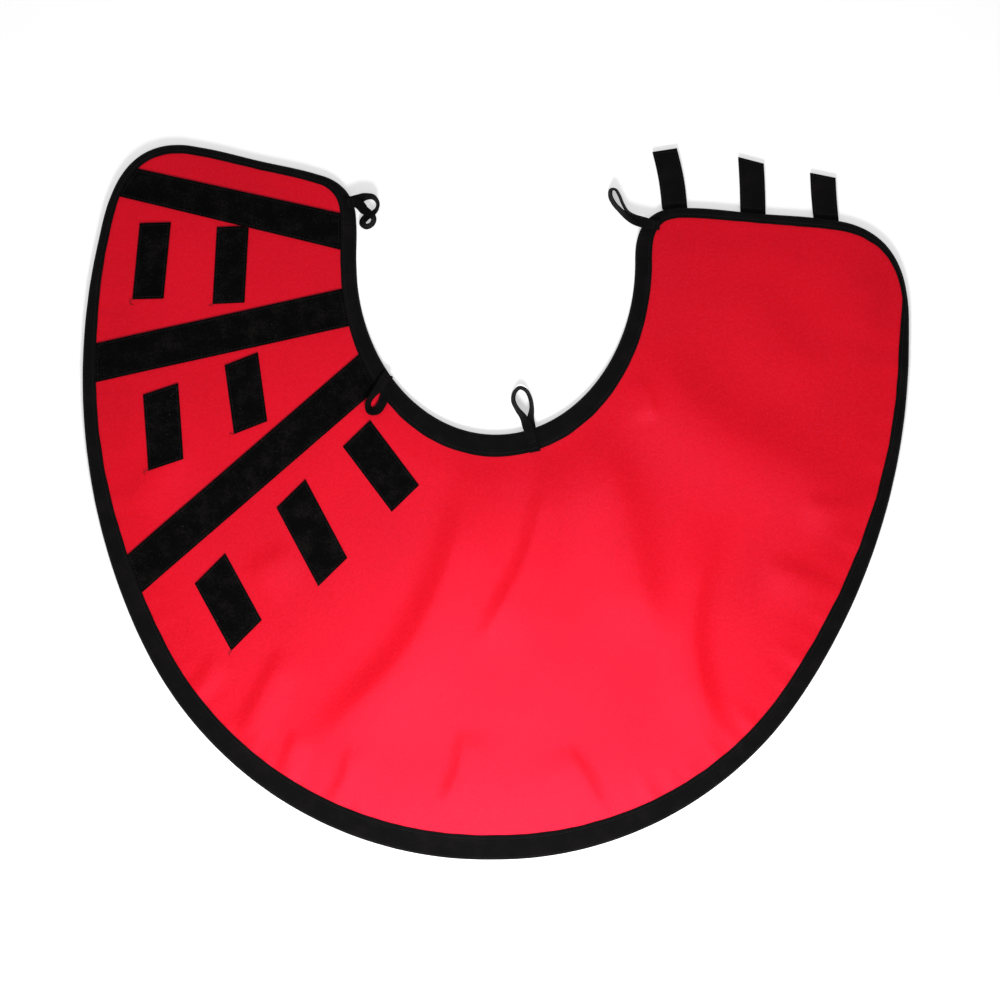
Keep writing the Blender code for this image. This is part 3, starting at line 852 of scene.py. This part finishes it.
# thread ends left at the patches' lowest corners, as steps in mm from the corner
looseEnds = {
    "fastener_patch_1_outer": [(1.5, 2.0), (-1.0, -0.5), (-2.6, -2.6), (-1.6, -4.6), (0.6, -5.0)],
    "fastener_patch_1_middle": [(1.5, 2.0), (0.2, -0.6), (-1.8, -1.8), (-3.4, -0.8)],
    "fastener_patch_2_outer": [(1.0, 2.5), (-1.2, 0.2), (-3.2, 0.0), (-4.6, -1.6), (-4.0, -3.2)],
    "fastener_patch_2_middle": [(0.6, 2.0), (-1.2, -0.2), (-3.2, 1.0), (-4.4, 0.4)],
    "fastener_patch_3_outer": [(0.4, 2.2), (-0.4, -1.2), (-2.2, -2.4), (-2.0, -4.4)],
}
rows = []
for node in sorted(cadNodes):
    if not node.startswith("fastener_"):
        continue
    tape = dress(fromCad(node, node.replace("fastener", "loop_tape"), fastener["net"]), "pile")
    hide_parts(node)
    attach(tape, "left_half")
    outline, face = topOutline(node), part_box(node)[1].z
    line = dense(insetLine(outline, fastener["stitchInset"]), thread["spacing"])
    height = face - fastener["stitchDepth"] + lift(line[:, 0], line[:, 1])
    rows.append(sew(f"{node}_row", np.column_stack([line, height]), closed=True))
    if node in looseEnds:
        line = refine(outline[outline[:, 1].argmin()] + np.array(looseEnds[node]) * mm, looseEnd["spacing"])
        share = smooth(np.linspace(1, 0, len(line)) * looseEnd["drop"])  # down from the patch to the cloth
        height = shellTop + looseEnd["over"] + share * (face - shellTop) + lift(line[:, 0], line[:, 1])
        line = np.column_stack([line, height])
        rows.append(sew(f"{node}_end", line, looseEnd["pitch"], looseEnd["length"]))
fastenerStitching = dress(join(rows, "loop_tape_stitching"), "thread")
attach(fastenerStitching, "left_half")
print("bands and patches sewn on")


# length in mm, lean and the tip's slant in degrees, and how far it bows sideways and curls up in mm
tabs = {
    "hook_tab_1": {"length": 57.5, "lean": 9.5, "slant": 8.0, "bow": 1.6, "curl": 0.8},
    "hook_tab_2": {"length": 52.0, "lean": 7.0, "slant": -10.0, "bow": 0.4, "curl": 0.5},
    "hook_tab_3": {"length": 43.0, "lean": 9.0, "slant": -6.5, "bow": -0.4, "curl": 0.6},
}
tabTape = {
    "width": 25.5 * mm,
    "thickness": 1.2 * mm,
    "net": (16, 40),
    "buried": 2.4 * mm,  # inside the binding
    "bendBefore": 1.0 * mm,  # the bend's start and end, from the hinge line
    "bendAfter": 2.6 * mm,
    "stitchSide": 2.2 * mm,  # from the webbing's sides, from the hinge line and from the tip
    "stitchFirst": 4.5 * mm,
    "stitchLast": 2.4 * mm,
    "stitchDepth": 0.02 * mm,
}
hookTape = {
    "from": 3.0 * mm,
    "base": 0.6 * mm,
    "net": (12, 30),
    "pitch": 1.45 * mm,
    "margin": 1.6 * mm,
    "peg": (0.32 * mm, 0.26 * mm, 0.46 * mm),
    "taper": (0.8, 0.9, 0.8),
    # the peg's crook, as one step after another
    "crook": ((0.10 * mm, 0, -0.17 * mm), (0.22 * mm, 0, -0.06 * mm), (0.13 * mm, 0, 0.10 * mm)),
}


def tabFrame(name):
    joint = joints[f"{name}_bend"]
    at, axis = np.array(joint["pos_m"]), np.array(joint["axis"])
    along = -axis[:2]
    return at, along, np.array([-along[1], along[0]])


def tabSpots(name, side, run, height):
    # side goes from -1 to 1 across the tab, and run out from its hinge in metres
    shape = tabs[name]
    at, along, outward = tabFrame(name)
    share = np.clip(run / (shape["length"] * mm), 0, 1)
    across = (side * tabTape["width"] / 2 - run * math.tan(math.radians(shape["lean"]))
              + shape["bow"] * mm * np.sin(share * math.pi))
    plan = at[:2] + across[:, None] * along + run[:, None] * outward
    return np.column_stack([plan, at[2] + height + shape["curl"] * mm * share**2])


def tabStrip(name, start, height):
    # a strip of the tab from start to its slanted tip, as a place for each point of a grid
    shape = tabs[name]
    tip = tabTip(name)

    def place(u, v):
        side = 2 * u - 1
        run = start + (shape["length"] * mm + side * tip - start) * v
        return tabSpots(name, side, run, height), np.column_stack([run, side * tabTape["width"] / 2])

    return place


def tabTip(name):
    return math.tan(math.radians(tabs[name]["slant"])) * tabTape["width"] / 2


def hookPeg():
    # one hook: a peg hanging from the strip, with a crook at its end
    deselectAll()
    bpy.ops.mesh.primitive_cube_add(size=1)
    peg = bpy.context.object
    bpy.ops.object.mode_set(mode="EDIT")
    bpy.ops.transform.resize(value=hookTape["peg"])
    bpy.ops.mesh.select_all(action="DESELECT")
    bpy.ops.object.mode_set(mode="OBJECT")
    for face in peg.data.polygons:
        face.select = face.normal.z < -0.5
    bpy.ops.object.mode_set(mode="EDIT")
    for step in hookTape["crook"]:
        bpy.ops.mesh.extrude_region_move(TRANSFORM_OT_translate={"value": step})
        bpy.ops.transform.resize(value=hookTape["taper"])
    bpy.ops.object.mode_set(mode="OBJECT")
    spots, faces = spotsOf(peg), [tuple(face.vertices) for face in peg.data.polygons]
    spots[:, 2] -= spots[:, 2].max()
    bpy.data.objects.remove(peg, do_unlink=True)
    return spots, faces


def hookField(name, height):
    # the hooks in rows under the strip, every second row turned round
    pegSpots, pegFaces = hookPeg()
    spots, faces = [], []
    halfWidth = tabTape["width"] / 2
    half = halfWidth - hookTape["margin"]
    for across in np.arange(-half, half + 1e-6, hookTape["pitch"]):
        turn = (1, 1, 1) if int(round(across / hookTape["pitch"])) % 2 else (-1, -1, 1)
        stop = tabs[name]["length"] * mm + across / halfWidth * tabTip(name) - hookTape["margin"]
        for run in np.arange(hookTape["from"] + hookTape["margin"], stop, hookTape["pitch"]):
            root = tabSpots(name, np.array([across / halfWidth]), np.array([run]), height)
            faces += [tuple(i + len(spots) * len(pegSpots) for i in face) for face in pegFaces]
            spots.append(root + pegSpots * turn)
    mesh = bpy.data.meshes.new(f"{name}_hook_field")
    mesh.from_pydata(np.vstack(spots).tolist(), [], faces)
    field = bpy.data.objects.new(f"{name}_hook_field", mesh)
    bpy.context.scene.collection.objects.link(field)
    return field


def tabStitches(name):
    # a closed row round the hook strip, on the webbing's upper face
    halfWidth = tabTape["width"] / 2
    side = halfWidth - tabTape["stitchSide"]
    first, last = tabTape["stitchFirst"], tabs[name]["length"] * mm - tabTape["stitchLast"]
    slant = tabTip(name) * side / halfWidth
    path = np.array([(-side, first), (side, first), (side, last + slant), (-side, last - slant)])
    across, run = dense(path, thread["spacing"]).T
    height = tabTape["thickness"] / 2 - tabTape["stitchDepth"]
    return sew(f"{name}_stitching", tabSpots(name, across / halfWidth, run, height), closed=True)


def makeTab(name):
    at, _, outward = tabFrame(name)
    hinge = np.append(outward, 0)
    webbing = layGrid(name, *tabTape["net"], tabStrip(name, -tabTape["buried"], 0.0))
    thicken(webbing, tabTape["thickness"], offset=0.0, soften=0.25 * mm)
    dress(webbing, "webbing")
    start, end = at - hinge * tabTape["bendBefore"], at + hinge * tabTape["bendAfter"]
    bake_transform(webbing)
    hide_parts(name)

    # the hook strip: a thin base with the hooks on it
    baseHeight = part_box(f"{name}_hooks")[1].z - at[2] - hookTape["base"] / 2
    base = layGrid(f"{name}_base", *hookTape["net"], tabStrip(name, hookTape["from"], baseHeight))
    thicken(base, hookTape["base"], offset=0.0)
    field = hookField(name, baseHeight - hookTape["base"] / 2)
    hookStrip = dress(join([base, field], f"{name}_hook_strip"), "hooks")
    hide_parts(f"{name}_hooks")
    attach(hookStrip, f"{name}_flap")
    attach(dress(tabStitches(name), "thread"), f"{name}_flap")


for name in tabs:
    makeTab(name)
print("hook tabs sewn in")


# tape loops round the neck, each row: x, y and z of the tape's middle in mm, how far it is turned on edge
# in degrees, and its width in mm
loops = {
    "neck_loop_1": [
        (-150.8, 299.3, 9.5, 0, 10), (-143.8, 301.0, 9.5, 5, 10), (-136.8, 303.0, 9.0, 25, 10),
        (-129.8, 305.7, 7.5, 58, 10), (-122.3, 305.2, 6.8, 68, 10), (-118.0, 299.3, 6.4, 72, 10),
        (-119.5, 292.8, 5.6, 62, 9), (-124.6, 288.4, 4.6, 38, 7), (-131.0, 284.3, 5.2, 34, 8.5),
        (-133.4, 279.6, 5.8, 45, 9), (-129.6, 275.9, 6.4, 62, 9), (-124.2, 278.0, 6.8, 66, 9),
        (-121.9, 283.3, 8.0, 56, 8), (-125.6, 288.4, 9.3, 22, 7), (-131.6, 292.2, 9.3, 12, 9.5),
        (-135.6, 297.0, 10.0, 8, 10), (-140.8, 299.6, 10.8, 2, 10), (-148.8, 298.3, 10.8, 0, 10),
    ],
    "neck_loop_2": [
        (-106.8, 127.8, 9.5, 0, 10), (-111.0, 119.8, 9.5, 4, 10), (-110.4, 109.6, 10.2, 14, 9.6),
        (-113.6, 99.0, 11.2, 22, 9.6), (-119.2, 91.6, 11.4, 26, 9.6), (-125.6, 91.4, 11.6, 40, 9.2),
        (-127.6, 97.6, 11.8, 56, 8.8), (-125.0, 104.0, 11.8, 58, 8.6), (-120.8, 109.6, 11.6, 46, 8.8),
        (-115.6, 116.0, 11.3, 18, 9.4), (-111.6, 122.2, 10.9, 4, 10), (-107.4, 128.3, 10.9, 0, 10),
    ],
    "neck_loop_3": [
        (39.5, 50.3, 9.5, 0, 11), (37.3, 61.3, 9.5, 0, 10.5), (35.1, 74.3, 9.4, 8, 10),
        (34.8, 83.3, 8.0, 45, 10), (36.0, 94.3, 7.0, 66, 10), (34.0, 105.3, 6.8, 70, 10),
        (29.8, 112.4, 6.8, 70, 10), (23.8, 114.6, 6.8, 70, 10), (19.0, 110.2, 6.8, 70, 10),
        (17.5, 102.3, 7.0, 68, 10), (21.4, 93.3, 7.2, 66, 10), (27.3, 85.3, 8.2, 50, 10),
        (31.8, 75.3, 10.5, 10, 10), (35.8, 62.3, 10.8, 0, 10.5), (39.3, 51.3, 10.8, 0, 11),
    ],
    "neck_loop_4": [
        (163.8, 278.4, 9.5, 0, 10), (155.3, 278.3, 9.5, 0, 10), (146.3, 280.8, 9.3, 10, 10),
        (138.3, 285.3, 8.2, 45, 9), (132.2, 290.3, 7.0, 66, 9.5), (126.8, 299.3, 6.6, 72, 10),
        (123.2, 307.8, 6.6, 72, 10), (119.2, 313.2, 6.6, 72, 10), (115.6, 313.0, 6.6, 72, 10),
        (114.6, 307.3, 6.6, 72, 10), (117.8, 299.8, 6.6, 72, 10), (124.3, 292.3, 6.8, 70, 10),
        (131.3, 285.8, 7.8, 55, 9), (138.3, 281.8, 9.4, 25, 9), (147.3, 279.1, 10.6, 6, 10),
        (156.3, 277.3, 10.8, 0, 10), (163.8, 276.8, 10.8, 0, 10),
    ],
}
loopTape = {
    "thickness": 1.15 * mm,
    "spacing": 1.1 * mm,
    "across": 8,
    "bendBefore": 1.5 * mm,  # the bend's start and end, from the hinge line
    "bendAfter": 4.5 * mm,
}
# two bars of close stitches hold a loop's tail down: their places along it, and their half width
bars = {"at": (0.25, 0.8), "half": 3.6 * mm, "spacing": 1 * mm, "pitch": 1.25 * mm, "length": 1.2 * mm}


def makeLoop(name, stations):
    line = np.array(stations, float)
    line[:, :3] *= mm
    line[:, 3] = np.radians(line[:, 3])
    line[:, 4] *= mm
    run = Run(line)
    columns = int(run.length / loopTape["spacing"])

    def place(u, v):
        distance = u * run.length
        middle, ahead = run.at(distance), run.ahead(distance, 0.002)
        level = unit(np.cross(np.array([0.0, 0.0, 1.0]), ahead))
        upright = np.cross(ahead, level)
        tilt, width = middle[:, 3:4], middle[:, 4:5]
        across = level * np.cos(tilt) + upright * np.sin(tilt)
        spots = middle[:, :3] + across * (v[:, None] - 0.5) * width
        return spots, np.column_stack([distance, (v - 0.5) * width[:, 0]])

    tape = layGrid(name, columns, loopTape["across"], place)
    thicken(tape, loopTape["thickness"], offset=0.0, soften=0.25 * mm)
    dress(tape, "loopStrip")
    body = "left_half" if name[-1] in "12" else "right_half"
    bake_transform(tape)
    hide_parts(name, f"{name}_tail")

    rows = []
    tail = line[-2, :3] - line[-1, :3]
    ahead = unit(tail)
    across = np.array([-ahead[1], ahead[0], 0.0])
    top = np.array([0, 0, loopTape["thickness"] / 2])
    for share in bars["at"]:
        spot = line[-1, :3] + tail * share + top
        ends = np.array([spot - across * bars["half"], spot + across * bars["half"]])
        bar = dense(ends, bars["spacing"], closed=False)
        rows.append(sew(f"{name}_bar_{len(rows)}", bar, bars["pitch"], bars["length"]))
    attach(dress(join(rows, f"{name}_stitching"), "thread"), body)


for name, stations in loops.items():
    makeLoop(name, stations)
print("neck loops twisted and tacked")


# floor, light and camera
studio = {
    "floorSize": 60,
    "floorDrop": 0.4 * mm,
    "floor": (0.93, 0.93, 0.93, 1),
    "floorGlow": 0.46,
    "world": 0.36,
    "key": {"at": (0.02, -0.60, 0.72), "size": 0.3, "power": 7.7},
    "fill": {"at": (-0.5, 0.3, 2.2), "size": 1.8, "power": 2},
    "aim": (0, -0.12, 0),
    "camera": {"at": (0.00425, 0.00225, 2.369), "lens": 85},
}
deselectAll()
bpy.ops.mesh.primitive_plane_add(size=studio["floorSize"], location=(0, 0, -studio["floorDrop"]))
floor = bpy.context.object
floor.name = "floor"
floorRecipe = Recipe("pale floor", roughness=0.75, specular=0.2)
floorRecipe.shader.inputs["Emission Color"].default_value = (1, 1, 1, 1)
floorRecipe.shader.inputs["Emission Strength"].default_value = studio["floorGlow"]
floor.data.materials.append(floorRecipe.finish(studio["floor"]))

world = bpy.data.worlds.new("studio")
world.use_nodes = True
world.node_tree.nodes["Background"].inputs["Color"].default_value = (1, 1, 1, 1)
world.node_tree.nodes["Background"].inputs["Strength"].default_value = studio["world"]
bpy.context.scene.world = world
for name in ("key", "fill"):
    look = studio[name]
    lamp = bpy.data.lights.new(name, "AREA")
    lamp.size = look["size"]
    lamp.energy = look["power"]
    light = bpy.data.objects.new(name, lamp)
    bpy.context.scene.collection.objects.link(light)
    light.location = look["at"]
    aim = Vector(studio["aim"]) - Vector(look["at"])
    light.rotation_euler = aim.to_track_quat("-Z", "Y").to_euler()
lens = bpy.data.cameras.new("camera")
lens.lens = studio["camera"]["lens"]
lens.sensor_width = 36
camera = bpy.data.objects.new("camera", lens)
bpy.context.scene.collection.objects.link(camera)
camera.location = studio["camera"]["at"]
bpy.context.scene.camera = camera
bpy.context.scene.view_settings.view_transform = "Standard"
print("studio set")
